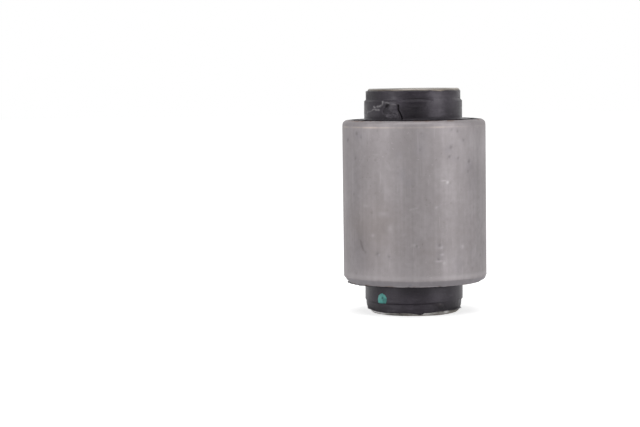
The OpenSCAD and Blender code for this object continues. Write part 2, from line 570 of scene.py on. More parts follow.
# Wide darker areas, partly stains and partly painted shade over the highlights, in
# the same order of values
DULL_AREAS = [
    (-143, 23, 4.5, 6, 0.2), (-102, 49, 1.4, 2.2, 0.22), (-97.5, 46.5, 1.5, 1.4, 0.22),
    (-38, 46, 3, 5, 0.1), (-146, 45, 3, 9, 0.1), (-88, 58, 1.6, 2.2, 0.2),
    (-86, 62, 1.8, 1.2, 0.14), (-44, 51.5, 2, 2.4, 0.22), (-104, 56, 1.2, 1, 0.18),
    (-142, 62.5, 2.4, 1.6, 0.28), (-64, 57.5, 1.8, 1.6, 0.22),
    (-60, 54.6, 2.2, 0.9, 0.2), (-72.5, 21.5, 1.4, 2.4, 0.16),
    (-57, 17.5, 2.5, 4, 0.14), (-97, 11.6, 0.9, 0.5, 0.9),
]
# Faintly brown areas, in the same order of values
BROWN_AREAS = [
    (-130, 31, 11, 10, 0.36), (-105, 31, 6, 5, 0.16), (-80, 22, 6, 6, 0.1),
    (150, 40, 12, 10, 0.2), (60, 28, 9, 8, 0.22),
]
# Faint rust down the left side, in the same order of values
RUST_AREAS = [(176, 52, 2.2, 14, 0.22)]
# How dull the lead-in is, round the bore
DULL_LEAD_IN = [
    (-180, 1), (-150, 1), (-115, 0.4), (-100, 0), (-85, 0), (-75, 0.4), (-30, 0.8),
    (60, 0.3), (140, 0.6),
]
# Strength of the worn line at the foot of the lead-in, round the bore
WORN_LINE = [
    (-175, 0.1), (-165, 0.5), (-122, 0.75), (-105, 0.7), (-100, 0.15), (-84, 0.2),
    (-78, 0.6), (-60, 0.7), (-54, 0.15), (-20, 0.1), (20, 0.4), (60, 0.1), (110, 0.5),
    (150, 0.3),
]
# How dark a pit or a scratch is
PIT_TONE = 0.42
# Place where the edge below the chamfer is knocked in, and bulges above that
KNOCKED_PLACE = -8
# Number of marks that are thrown at random, and their distance from the rims in mm
CHANCE_PITS = 110
CHANCE_SCRATCHES = 30
CHANCE_MARGIN = 3


def chance_marks(ring):
    """Small pits and short scratches, thrown at random over the whole tube."""
    chance = np.random.default_rng(11)
    low = LOW_RIM / MM + CHANCE_MARGIN
    high = HIGH_RIM / MM - CHANCE_MARGIN
    for _ in range(CHANCE_PITS):
        turn = chance.uniform(-180, 180)
        level = chance.uniform(low, high)
        size = chance.uniform(0.2, 0.5)
        hole = spot(ring.away(turn, level), size * MM)
        ring.press(0.02, hole)
        ring.mark("pit", chance.uniform(0.1, 0.35) * hole)
    for _ in range(CHANCE_SCRATCHES):
        turn = chance.uniform(-180, 180)
        level = chance.uniform(low, high)
        lean = chance.uniform(-6, 6)
        drop = chance.uniform(0.2, 1.2)
        line = [(turn, level), (turn + lean, level - drop)]
        groove = spot(ring.from_line(line), 0.3 * MM)
        ring.mark("light", chance.uniform(0.05, 0.2) * groove)


def outer_sleeve(material):
    """The steel tube with its rounded lead-in, plain chamfer, worn edges and pits."""
    edge = 0.12
    fine = 0.16
    ring = Ring(
        [
            Corner(SLEEVE_IN_R, LOW_RIM, edge, 0.5),
            Corner(SLEEVE_R - CHAMFER_W, LOW_RIM, edge, 0.3),
            Corner(SLEEVE_R, LOW_RIM + CHAMFER_H, 0.25, 0.38),
            Corner(SLEEVE_R, HIGH_RIM - LEAD_IN_H, 0.5, fine),
            Corner(SLEEVE_R - KNEE_IN, HIGH_RIM - KNEE_DROP, 2.7, fine),
            Corner(SLEEVE_R - LEAD_IN_W, HIGH_RIM, edge, 0.4),
            Corner(SLEEVE_IN_R, HIGH_RIM, edge, 14),
        ],
        closer_near(SEEN_SIDE, 82, 0.65, 1.0),
        SLEEVE_R,
    )
    here = ring.points()
    ring.mask = ring.beyond(SLEEVE_R, -2, -1.5)
    ragged = 0.35 * MM * layered(here, 0.9 * MM, 3)
    for turn, high, size, depth in PITS:
        away = ring.away(turn, high) + ragged
        hole = spot(away, 1.2 * size * MM)
        ring.press(depth, hole)
        ring.mark("pit", PIT_TONE * hole)
        ring.mark("dull", 0.2 * spot(away + ragged, 2.6 * size * MM))
        raised_lip = ring.away(turn + 1.6, high - 0.9 * size) + ragged
        ring.mark("light", 0.22 * spot(raised_lip, size * MM))
    groove = spot(ring.from_line(SCRATCH) + ragged, 0.4 * MM)
    ring.press(0.04, groove)
    ring.mark("pit", PIT_TONE * groove)
    chance_marks(ring)
    ring.patches("light", LIGHT_MARKS)
    ring.patches("dull", DULL_AREAS)
    ring.patches("brown", BROWN_AREAS)
    ring.patches("rust", RUST_AREAS)
    # Painted light: lighter towards the top and lighter low down near the foot
    ring.mark("light", 0.13 * ring.above(0, 42, 66) + 0.08 * ring.above(0, 24, 14))
    low_edge = ring.band(LOW_RIM + CHAMFER_H, 0.4)
    top_edge = ring.band(HIGH_RIM - LEAD_IN_H, 0.22)
    nicks = smooth(0.25, 0.8, layered(here, 1.6 * MM, 5))
    ring.press(0.09, nicks * low_edge)
    ring.press(0.06, nicks * top_edge)
    turn, high, size, depth = NOTCH
    notch = spot(ring.away(turn, high), size * MM)
    ring.press(depth, notch)
    ring.mark("light", 0.6 * notch)
    patchy = smooth(-0.5, 0.4, layered(here, 4 * MM, 9))
    ring.mark("worn", top_edge * ring.along(WORN_LINE) * patchy)
    # In front, painted shade darkens the upper rim's edge and painted light brightens
    # the lower one's
    ring.mark("pit", ring.above(HIGH_RIM, -0.15, -0.07) * ring.near(-88, 9, 6))
    ring.mark("light", ring.above(LOW_RIM, 0.22, 0.12) * ring.near(-90, 13, 9))
    lead_in = smooth(HIGH_RIM - LEAD_IN_H, HIGH_RIM - 0.8 * LEAD_IN_H, ring.h)
    lead_in = lead_in * ring.along(DULL_LEAD_IN)
    ring.mark("dull", 0.14 * lead_in)
    ring.mark("brown", 0.2 * lead_in)
    # Painted highlight in a band just above the chamfer, weaker near -118 degrees
    painted_highlight_band = ring.band(LOW_RIM + CHAMFER_H + 1 * MM, 1)
    ring.mark("light", 0.3 * painted_highlight_band * (1 - 0.4 * spot(ring.off(-118), 9 * MM)))
    # Painted shade on the chamfer, in the dull colour
    chamfer = smooth(LOW_RIM + CHAMFER_H, LOW_RIM + 0.8 * CHAMFER_H, ring.h)
    ring.mark("dull", 0.42 * chamfer)
    knocked = ring.near(KNOCKED_PLACE, 14, 7)
    ring.press(0.8, knocked * ring.above(LOW_RIM, 0.7, 0))
    ring.press(-0.38, knocked * ring.band(LOW_RIM + 1.0 * MM, 0.5))
    ring.mask = ring.beyond(SLEEVE_IN_R, 0.5, 0.9)
    rims = smooth(0.5 * MM, 0.1 * MM, np.minimum(ring.h - LOW_RIM, HIGH_RIM - ring.h))
    ring.mark("rust", 0.9 * rims * smooth(-0.1, 0.5, layered(here, 2.4 * MM, 13)))
    made = ring.piece("outer_sleeve_steel", material, "outer_sleeve")


# Inner sleeve
# Strength of the rust line just above the upper skin, round the bore
RUST_LINE = [
    (-180, 0.2), (-150, 0.3), (-140, 0.9), (-108, 0.8), (-96, 0.4), (-84, 0.5),
    (-72, 0.4), (-66, 0.9), (-52, 0.8), (-44, 0.3), (0, 0.5), (60, 0.2), (120, 0.6),
]
# How much of the foot's edge carries a painted reflection of the floor, round the
# bore; the rest carries painted shade
FOOT_PAINTED_REFLECTION = [
    (-180, 1.3), (-142, 1.3), (-132, 0.4), (-122, 0.15), (-106, 0), (-98, 0.1),
    (-84, 0.4), (-78, 0.4), (-70, 0.15), (-62, 0.05), (-55, 0.2), (-48, 1.2),
    (-10, 1.3), (30, 0.2), (90, 0.5), (140, 0.2),
]
# How strong the painted highlight on the bevel round the upper end face is, round
# the bore
BEVEL_PAINTED_HIGHLIGHT = [
    (-180, 0.3), (-150, 0.4), (-130, 0.2), (-112, 0.4), (-104, 0.6), (-82, 0.6),
    (-74, 0.6), (-60, 0.55), (-45, 0.55), (-30, 1), (-5, 1), (40, 0.6), (100, 0.3),
]
# How smoothly the upper end face is rubbed, along X in mm
RUBBED_FACE = [
    (-16, 0.3), (-7, 0.5), (-5, 1), (5, 1), (7, 0.3), (11, 0.3), (12, 1), (16, 1),
]
# Distance between the turning marks on the end faces
TURNING_PITCH = 0.35 * MM
# Streak of rust across the end faces: its place, and the radius where it is measured
STREAK_PLACE = -88
STREAK_R = 11 * MM


def inner_sleeve(material):
    """The thick steel tube with its bevelled ends and bore, worn and rusted there, with
    a painted highlight on the bevels and a painted floor reflection and painted shade
    at the foot.
    """
    edge = 0.1
    end = [
        Corner(BORE_R, BORE_BEVEL, edge, 0.15),
        Corner(BORE_R + BORE_BEVEL, 0, edge, 0.3),
        Corner(INNER_R - INNER_BEVEL, 0, edge, 0.12),
        Corner(INNER_R, INNER_BEVEL, edge, 0.2),
        Corner(INNER_R, 2 * MM, 0, 12),
    ]
    lower = at_height(end, 0, 1)
    upper = at_height(turned_over(end, 2.5), TOP, -1)
    ring = Ring(lower + upper, closer_near(SEEN_SIDE, 85, 0.8, 1.2), INNER_R)
    here = ring.points()
    top_half = ring.h > TOP / 2
    from_end = np.minimum(ring.h, TOP - ring.h)
    # Edges of both ends
    ring.mask = 1 - smooth(0.8 * MM, 1.4 * MM, from_end)
    nicks = smooth(0.2, 0.8, layered(here, 2.0 * MM, 21))
    ring.press(0.08, nicks * spot(ring.r - INNER_R, 0.5 * MM))
    # Painted highlight on the bevels, in the worn colour
    bevel = spot(ring.r - INNER_R + 0.6 * INNER_BEVEL, 0.3 * MM)
    ring.mark("worn", bevel * ring.along(BEVEL_PAINTED_HIGHLIGHT))
    # Flat end faces
    ring.mask = smooth(0.12 * MM, 0.02 * MM, from_end)
    turned = np.cos(ring.r / TURNING_PITCH * 2 * math.pi)
    ring.mark("worn", 0.12 * (0.5 + 0.5 * turned))
    rubbed = np.interp(here[..., 0] / MM, *zip(*RUBBED_FACE))
    ring.mark("faced", rubbed * ring.beyond(BORE_R, 0, 1))
    ring.mark("worn", 0.25 * rubbed * top_half)
    streak = spot(ring.off(STREAK_PLACE, STREAK_R), 1.1 * MM)
    ring.mark("rust", 0.8 * streak * smooth(-0.5, 0.3, layered(here, 1.5 * MM, 27)))
    ring.mark("rust", 0.45 * smooth(0.35, 0.7, layered(here, 2.6 * MM, 29)))
    # Bare wall under the upper end, with a rust line and a darker band
    bare = smooth(0.2 * MM, 0.5 * MM, TOP - ring.h) * top_half
    ring.mask = bare * ring.beyond(INNER_R, -0.35, -0.1)
    ring.mark("rust", 0.5 + 0.5 * ring.along(RUST_LINE))
    ring.mark("painted_shade_and_darkening", 0.6 + 0.3 * layered(here, 2.4 * MM, 35))
    # Foot, worn back, with a painted reflection of the floor on its edge and painted
    # shade on the rest
    ring.mask = ring.above(0, 4, 0) * ring.beyond(INNER_R, -3, -0.6)
    ring.press(1, ring.along(FOOT_WORN))
    ring.mask = ring.above(0, 2.0, 1.6) * ring.beyond(INNER_R, -0.8, -0.3)
    pale = np.clip(ring.along(FOOT_PAINTED_REFLECTION) + 0.25 * layered(here, 1.5 * MM, 33), 0, 1)
    ring.mark("pale", pale)
    ring.mark("painted_shade_and_darkening", 0.85 * (1 - pale))
    made = ring.piece("inner_sleeve_steel", material, "inner_sleeve")


# Rubber
# Ragged edges of the skin, as (place, height past the plain edge)
UPPER_EDGE = [
    (-180, 0.05), (-160, 0.12), (-145, 0.1), (-131, 0.08), (-120, 0.12), (-110, 0.1),
    (-100, 0.12), (-88, 0.15), (-80, 0.05), (-73, 0.16), (-66, 0), (-60, -0.18),
    (-51, 0.1), (-40, 0.14), (-26, -0.05), (0, 0), (40, -0.25), (75, 0.1), (110, -0.2),
    (150, 0),
]
LOWER_EDGE = [
    (-180, -0.3), (-163, -0.4), (-143, -0.1), (-126, -0.1), (-112, -0.2), (-98, -0.2),
    (-91.6, 0.05), (-87.5, 0.4), (-84.5, 0.3), (-82, -0.3), (-73, -0.35), (-60, -0.55),
    (-48, -0.58), (-36, -0.45), (-20, -0.5), (0, -0.3), (45, -0.5), (90, -0.2),
    (140, -0.4),
]
# How far the ledge of the lower neck hangs down, round the bore
LEDGE_DIP = [
    (-180, 0), (-155, 0.12), (-128, 0.25), (-112, 0.25), (-98, 0.12), (-60, 0.12),
    (-25, -0.1), (60, 0.1), (120, 0),
]
# How much of the corner above each step is filled, round the bore
UPPER_FILL = [
    (-180, 0), (-82, 0), (-68, 0.9), (-40, 0.9), (-18, 0), (110, 0), (130, 0.6),
]
LOWER_FILL = [
    (-180, 0), (-74, 0), (-64, 0.8), (-28, 0.8), (-10, 0.3), (20, 0), (80, 0.5),
]
# Rings left by the mould, as (height past the rim, depth, width)
UPPER_RINGS = [
    (9.4, 0.08, 0.2), (8.1, 0.08, 0.22), (7.4, 0.14, 0.28), (6.7, 0.09, 0.3),
    (6.1, 0.06, 0.2), (5.3, 0.03, 0.18), (4.6, 0.06, 0.3), (3.7, 0.05, 0.3),
    (2.3, 0.05, 0.3),
]
LOWER_RINGS = [(6.45, 0.07, 0.22), (8.6, 0.05, 0.25)]
# How deep the rings are pressed, and how much painted shade lies in them, round
# the bore
RING_DEPTH_AND_SHADE = [
    (-160, 0.3), (-112, 0.3), (-102, 1), (-80, 1), (-73, 0), (-45, 0), (-20, 0.3),
    (90, 0.6),
]
# Standing shreds of torn rubber, as (strength, line of (place, height))
SHREDS = [
    (0.60, [(-130.7, 73.8), (-130.4, 73.3), (-130.8, 72.8), (-132.4, 72.4)]),
    (0.40, [(-127.0, 73.4), (-124.5, 73.4), (-121.9, 73.2)]),
    (0.75, [(-145.0, 72.0), (-142.8, 71.8)]),
    (0.60, [(-139.1, 72.0), (-137.1, 72.2), (-134.7, 72.2), (-132.4, 72.5)]),
    (0.60, [(-146.5, 70.9), (-144.1, 71.1), (-141.4, 71.0), (-136.4, 70.9)]),
    (0.30, [(-147.1, 70.8), (-151.4, 70.4), (-159.3, 69.9)]),
    (0.18, [(-121.9, 73.2), (-119.3, 72.9), (-116.8, 72.8), (-113.1, 72.7)]),
]
# The crack as a line of (place, height), and (height, half width) of its opening
CRACK = [
    (-110.7, 72.6), (-110.6, 72.1), (-110.6, 71.6), (-110.4, 70.8), (-109.7, 70.3),
    (-108.6, 69.8), (-107.8, 69.2), (-106.8, 68.7), (-106.1, 67.7),
]
CRACK_WIDTHS = [
    (67.8, 0.24), (69.2, 0.22), (70.2, 0.22), (71.2, 0.36), (72.2, 0.34), (72.8, 0.15),
]
# The loosened flap as (place, height, half width, half height), the hollow along its
# left side as a line of (place, height), and the middle of the cavity at its corner
FLAP = (-119.0, 71.3, 3.0, 1.7)
FLAP_EDGE = [
    (-122.6, 72.5), (-125, 72.4), (-126.7, 71.8), (-128.4, 71.3), (-129, 70.8),
    (-130, 70.1),
]
CAVITY = (-125.0, 72.1)
# Dusty patches as (place, height, half width, half height, strength)
CHALK = [
    (-117, 75.1, 1.2, 0.7, 0.35), (-61, 70.6, 0.9, 0.8, 0.28),
    (-146, 69.6, 3.2, 1.2, 0.22), (-66, 73.5, 3.5, 1.2, 0.18),
    (-62, 75.6, 4.5, 0.7, 0.16), (-42, 73.5, 3, 4, 0.14), (-62, 74.3, 4, 0.4, 0.25),
    (-35, 74.6, 3.5, 0.6, 0.3), (-121, 74.3, 2.5, 0.4, 0.14), (-100, 6, 6, 1, 0.1),
    (-62, 7.2, 4, 1.6, 0.14), (-61, 3.7, 2.6, 0.8, 0.24), (-104, 2.8, 5, 0.8, 0.1),
]
# Darker places in the same order of values
SHADED = [
    (-91, 70, 4.4, 3.4, 1), (-90, 74.6, 3.4, 0.4, 0.8), (-160, 76, 4.5, 1.4, 0.8),
    (-146, 76.2, 3, 1.2, 0.7), (-124, 71, 2.4, 2.6, 0.8), (-130.5, 68.8, 1.4, 1.6, 0.8),
    (-92, 9.4, 10, 1.9, 1), (-142, 9.2, 5, 1.6, 0.9), (-158, 8.8, 3, 2, 0.9),
    (-145, 2.2, 6, 2, 1), (-115, 76.3, 3, 0.6, 0.6), (-58, 2.4, 4.5, 2.2, 1),
    (-40, 2.4, 4.5, 1.8, 1), (-87.5, 1, 0.7, 0.5, 1),
]
# Painted shade at the darkest places, which are rough as well
PAINTED_SHADE_PLACES = [
    (-88, 70, 3, 2.6, 0.14), (-167, 75.2, 4.5, 2.2, 0.5), (-152, 75.6, 3, 1, 0.24),
    (-121, 75.6, 4, 1, 0.2), (-153, 71.5, 3, 2.2, 0.15), (-110, 71.5, 0.8, 1.6, 0.15),
    (-98, 9.3, 8, 1.4, 0.12), (-154, 3, 4.5, 1.5, 0.2), (-157, 1.6, 4.5, 1, 0.6),
    (-40, 1.9, 4, 0.6, 0.5), (-62, 1.8, 3, 0.5, 0.4),
]
# The scuffed place on the lower skin, as (place, height, half width, half height), and
# its pale flecks, as (place, height, size)
ROUGH_PATCH = (-61, 3.2, 3.9, 1.5)
SCUFFS = [(-61.9, 4, 0.35), (-57.7, 3.4, 0.3)]
# Place where the lower skin is thicker
THICK_PLACE = 177
# Height of the film that stands on each rim, round the bore
UPPER_FLASH = [
    (-180, 0.05), (-162, 0.08), (-150, 0.2), (-138, 0.4), (-93, 0.46), (-50, 0.38),
    (-38, 0.22), (-14, 0.12), (8, 0.12), (40, 0.1), (150, 0.08),
]
LOWER_FLASH = [
    (-180, 0.12), (-173, 0.3), (-150, 0.34), (-138, 0.2), (-120, 0.12), (-60, 0.1),
    (-45, 0.03), (5, 0.03), (40, 0.12), (100, 0.25), (150, 0.12),
]
# How much of its full reach the film has, and how much painted shade lies on it,
# round the bore
UPPER_REACH = [
    (-180, 0.2), (-162, 0.3), (-145, 1), (-45, 1), (-32, 0.4), (0, 0.2), (40, 0.5),
    (140, 0.5),
]
LOWER_REACH = [(-180, 1), (-60, 1), (-45, 0.2), (5, 0.2), (30, 1)]
RIM_PAINTED_SHADE = [
    (-180, 0.1), (-155, 0.3), (-135, 1), (-55, 1), (-38, 0.4), (-15, 0.1), (40, 0.2),
    (140, 0.2),
]
# Place where the lower film spreads further
SPREAD_PLACE = -178


def rubber_end(neck_h, slope, skin_h, skin_round, fine):
    """Corners of one end of the rubber from the inner sleeve outwards, as heights above
    the rim: skin, step, neck, foot, shoulder, groove, film and the flash on the rim.
    The step's ledge slopes from above its height to below it."""
    groove_in = FILM_R - GROOVE_W
    return [
        Corner(INNER_R, skin_h, 0, 0.25),
        Corner(SKIN_R, skin_h, skin_round, fine),
        Corner(SKIN_R, neck_h + 0.4 * slope, 0.3, 0.2),
        Corner(NECK_R, neck_h - 0.6 * slope, 0.3, fine),
        Corner(NECK_R, 0, 0.8, 0.35),
        Corner(groove_in, 0, 1.8, 0.35),
        Corner(groove_in, -GROOVE_DEPTH, 0.55, 0.35),
        Corner(FILM_R, -GROOVE_DEPTH, 0.55, 0.35),
        Corner(FILM_R, FLASH_T, 0.15, 0.22),
        Corner(FLASH_R, FLASH_T, 0.08, 0.12),
        Corner(FLASH_R, 0, 0, 0.5),
        Corner(SLEEVE_IN_R, 0, 0, 10),
    ]


def ragged_skin(ring, past_rim, edge, skin_h, seed):
    """Thins and thickens the end of the skin, and gives the way it moves up or down."""
    here = ring.points()
    end = smooth(skin_h - 1.5 * MM, skin_h - 0.3 * MM, past_rim)
    ring.mask = ring.beyond(INNER_R, 0.1, 0.4)
    ring.press(-0.07, end * layered(here, 1.2 * MM, seed + 3))
    rise = ring.along(edge) + 0.12 * layered(here * [1, 1, 0], 1.6 * MM, seed)
    return end * rise * MM


def filled_step(ring, past_rim, neck_h, fill):
    """Fills the corner above a step in places, so that the step fades out there."""
    level = np.clip((neck_h + 2.1 * MM - past_rim) / (2.2 * MM), 0, 1)
    level = level * ring.along(fill)
    filled = (past_rim > neck_h - 0.4 * MM) & (ring.r > INNER_R + 0.3 * MM)
    at_least = SKIN_R + (NECK_R - SKIN_R) * level
    ring.r = np.where(filled & (level > 0), np.maximum(ring.r, at_least), ring.r)


def mould_rings(ring, past_rim, rings, seed):
    """Shallow rings round the neck, deeper in some places than in others."""
    here = ring.points() * [1, 1, 0]
    ring.mask = ring.beyond(INNER_R, 0.3, 0.45)
    tone = ring.along(RING_DEPTH_AND_SHADE)
    for k, (high, depth, width) in enumerate(rings):
        worn = smooth(-0.6, 0.4, layered(here, 5 * MM, seed + 7 * k))
        line = spot(past_rim - high * MM, width * MM) * worn
        ring.press(depth, line * (0.1 + 0.9 * tone))
        # Painted shade in the grooves of the rings
        ring.mark("dark", min(1, 7 * depth) * line * tone)


def torn_neck(ring):
    """The crack, the loosened flap beside it, and pale shreds above and beside that."""
    here = ring.points()
    ring.mask = ring.beyond(INNER_R, 0.3, 0.5) * ring.above(HIGH_RIM, 0, 0.5)
    rough = layered(here, 0.7 * MM, 31)
    swell = smooth(1.25, 0.1, ring.oval(*FLAP))
    below = ring.near(-118.5, 3.4, 2.4) * ring.above(0, 71.0, 70.0)
    hollow = spot(ring.from_line(FLAP_EDGE), 0.28 * MM)
    cavity = spot(ring.away(*CAVITY), 0.5 * MM)
    wide = np.interp(ring.h / MM, *zip(*CRACK_WIDTHS))
    gap = smooth(1.25, 0.6, ring.from_line(CRACK) / (wide * MM))
    beside = ring.near(-104.5, 1.68, 0.84) * ring.band(70.6 * MM, 2.2)
    lift = 0.16 * swell + 0.10 * below * rough - 0.16 * hollow - 0.3 * cavity
    pale = 0.12 * below * smooth(0, 0.5, rough)
    broken = np.clip(0.8 + 0.6 * layered(here, 0.5 * MM, 37), 0.25, 1)
    for strength, line in SHREDS:
        shred = spot(ring.from_line(line) + 0.16 * MM * rough, 0.3 * MM)
        lift += (0.10 + 0.08 * rough) * shred
        pale = np.maximum(pale, strength * shred * broken)
    ring.press(1, 0.55 * gap - lift)
    ring.mark("torn", np.clip(pale, 0, 1) * (1 - gap))
    # Painted shade in the crack, the hollow and the cavity, and beside the crack
    ring.mark("dark", np.clip(gap + 0.6 * hollow + cavity, 0, 1))
    ring.mark("shade", 0.7 * beside)


def rough_patch(ring):
    """A lumpy, pale place on the lower skin, where it was scuffed."""
    here = ring.points()
    face = ring.beyond(INNER_R, 0.2, 0.45)
    lumps = layered(here, 0.9 * MM, 91)
    ring.mask = smooth(1.3, 0.4, ring.oval(*ROUGH_PATCH, SKIN_R)) * face
    ring.press(-0.16, lumps)
    ring.mark("torn", 0.08 * smooth(0.05, 0.7, lumps))
    ring.mark("brown", 0.3 * smooth(0.0, 0.6, layered(here, 1.3 * MM, 93)))
    # Painted shade in the hollows between the lumps
    ring.mark("dark", 0.5 * smooth(0.0, -0.5, lumps))
    ring.mask = face
    for place, high, size in SCUFFS:
        fleck = spot(ring.away(place, high, SKIN_R), size * MM)
        ring.press(-0.08, fleck)
        ring.mark("torn", 0.3 * fleck)


def rim_flash(ring):
    """Makes the film on both rims ragged, and lumpy where it stands up."""
    here = ring.points() * [1, 1, 0]
    past = np.maximum(ring.h - HIGH_RIM, LOW_RIM - ring.h)
    upper = ring.h > TOP / 2
    wide = ring.r - SLEEVE_IN_R
    reach = 0.85 + 0.35 * layered(here, 2.2 * MM, 95)
    reach += 0.15 * layered(here, 0.6 * MM, 96)
    reach *= np.where(upper, ring.along(UPPER_REACH), ring.along(LOWER_REACH))
    reach = np.clip(reach, 0.12, 1.12)
    spread = ~upper * ring.near(SPREAD_PLACE, 9, 5, FLASH_R)
    reach += spread * (0.3 + 0.5 * layered(here, 1.5 * MM, 98))
    ring.r = np.where(wide > 0, SLEEVE_IN_R + wide * reach, ring.r)
    level = np.where(upper, ring.along(UPPER_FLASH), ring.along(LOWER_FLASH))
    level = level * (1 + 0.55 * layered(here, 1.3 * MM, 97))
    rise = np.clip(past / FLASH_T, 0, 1) * (level * MM - FLASH_T)
    film = smooth(-0.5 * MM, -0.2 * MM, wide)
    ring.h += np.where(upper, rise, -rise) * film
    shoulder = smooth(1.6 * MM, 0.2 * MM, -past + 2 * np.maximum(past, 0))
    shoulder = shoulder * (ring.r > SKIN_R)
    tone = np.where(upper, ring.along(RIM_PAINTED_SHADE), 1)
    ring.mask = 1
    # Painted shade on the film and on the groove's shoulder, paler film where it is
    # weaker
    ring.mark("dark", tone * np.maximum(0.9 * film, 0.75 * shoulder))
    ring.mark("torn", 0.22 * (1 - tone) * film)


def rubber_body(material):
    """The moulded rubber with its necks, grooves, ragged flash and torn upper neck."""
    skin_h = LOW_RIM - BARE_END
    lower = rubber_end(NECK_DOWN_H, 0.2 * MM, skin_h, 0.42, 0.24)
    lower = at_height(lower, LOW_RIM, -1)
    upper = rubber_end(NECK_UP_H, 0.5 * MM, skin_h, 0.25, 0.15)
    upper = at_height(turned_over(upper, 10), HIGH_RIM, 1)
    ring = Ring(lower + upper, closer_near(TORN_SIDE, 35, 0.5, 1.0), NECK_R)
    here = ring.points()
    above = ring.h - HIGH_RIM
    below = LOW_RIM - ring.h
    free = ring.beyond(INNER_R, 0.2, 0.4) * ring.beyond(SLEEVE_IN_R, 0, -0.4)
    neck = free * ring.beyond(NECK_R, 0.8, 0.4)
    rise = ragged_skin(ring, above, UPPER_EDGE, skin_h, 41)
    drop = ragged_skin(ring, below, LOWER_EDGE, skin_h, 47)
    filled_step(ring, above, NECK_UP_H, UPPER_FILL)
    filled_step(ring, below, NECK_DOWN_H, LOWER_FILL)
    mould_rings(ring, above, UPPER_RINGS, 51)
    mould_rings(ring, below, LOWER_RINGS, 81)
    torn_neck(ring)
    ring.mask = free
    uneven = layered(here, 3.5 * MM, 61) + 0.4 * layered(here, 0.8 * MM, 65)
    ring.press(-0.045, uneven)
    thicker = ring.near(THICK_PLACE, 11, 4, SKIN_R)
    ring.press(-0.28, thicker * ring.above(0, 4.45, 4.2) * ring.above(0, 1.5, 3.5))
    # The worn foot takes the bonded inside of the rubber with it, and half its outside
    worn = ring.along(FOOT_WORN)
    ring.mask = ring.r < INNER_R + 0.1 * MM
    ring.press(1, worn * ring.above(0, 4.0, 0))
    ring.mask = free
    ring.press(0.45, worn * ring.above(0, 3.0, 0.6))
    dip = ring.along(LEDGE_DIP) * ring.band(LOW_RIM - NECK_DOWN_H, 1.4) * MM
    rough_patch(ring)
    ring.mask = neck
    ring.patches("chalk", CHALK)
    ring.patches("shade", SHADED)
    ring.patches("dark", PAINTED_SHADE_PLACES)
    levels = [LOW_RIM, LOW_RIM + GROOVE_DEPTH, HIGH_RIM - GROOVE_DEPTH, HIGH_RIM]
    aside = np.interp(ring.h, levels, [LOWER_ASIDE, 0, 0, UPPER_ASIDE])
    inner = ring.beyond(FILM_R, -0.2, -1.0)
    ring.r -= aside * inner * free * np.cos(ring.angle)
    rim_flash(ring)
    ring.h += rise - drop - dip
    made = ring.piece("rubber", material, "rubber_body")
    paint_dab(ring)


# Dab of paint on the lower neck
DAB_PLACE = -135
# Its outline as (distance round the neck from its place, height)
DAB = [
    (-0.55, 7.5), (-1.3, 6.75), (-1.5, 5.6), (-1.45, 4.25), (1.9, 4.25), (2.2, 5.2),
    (2.2, 6.2), (1.5, 7.1), (0.5, 7.65),
]


def neck_surface(ring, turns, levels):
    """Radius of the lower neck at a grid of turns and levels."""
    rows = np.flatnonzero((ring.h[:, 0] > 2.5 * MM) & (ring.h[:, 0] < LOW_RIM))
    rows = rows[ring.r[rows, 0] < NECK_R + 0.5 * MM]
    rows = rows[np.argsort(ring.h[rows, 0])]
    turn_of = (ring.angle[0] + math.pi) % (2 * math.pi) - math.pi
    columns = np.argsort(turn_of)
    by_turn = [np.interp(levels, ring.h[rows, j], ring.r[rows, j]) for j in columns]
    by_level = np.array(by_turn).T
    return np.array([np.interp(turns, turn_of[columns], line) for line in by_level])


def inside_outline(x, y, outline):
    """Depth inside an outline whose corners run to the left and all bend one way."""
    depth = np.full(x.shape, np.inf)
    for (x_a, y_a), (x_b, y_b) in zip(outline, outline[1:] + outline[:1]):
        run = math.hypot(x_b - x_a, y_b - y_a)
        side = ((y - y_a) * (x_b - x_a) - (x - x_a) * (y_b - y_a)) / run
        depth = np.minimum(depth, side)
    return depth


def slab_faces(kept):
    """Faces of a closed slab over the kept cells of a grid of points. The points of the
    upper side come first, and those of the lower side follow."""
    rows, turns = kept.shape
    under = (rows + 1) * (turns + 1)
    padded = np.pad(kept, 1)
    faces = []
    for i, j in zip(*np.nonzero(kept)):
        cell = [(i, j), (i, j + 1), (i + 1, j + 1), (i + 1, j)]
        top = [a * (turns + 1) + b for a, b in cell]
        faces.append(top)
        faces.append([under + k for k in reversed(top)])
        beyond = [(i, j + 1), (i + 1, j + 2), (i + 2, j + 1), (i + 1, j)]
        for k, place in enumerate(beyond):
            if not padded[place]:
                first, second = top[k], top[(k + 1) % 4]
                faces.append([second, first, under + first, under + second])
    return np.array(faces)


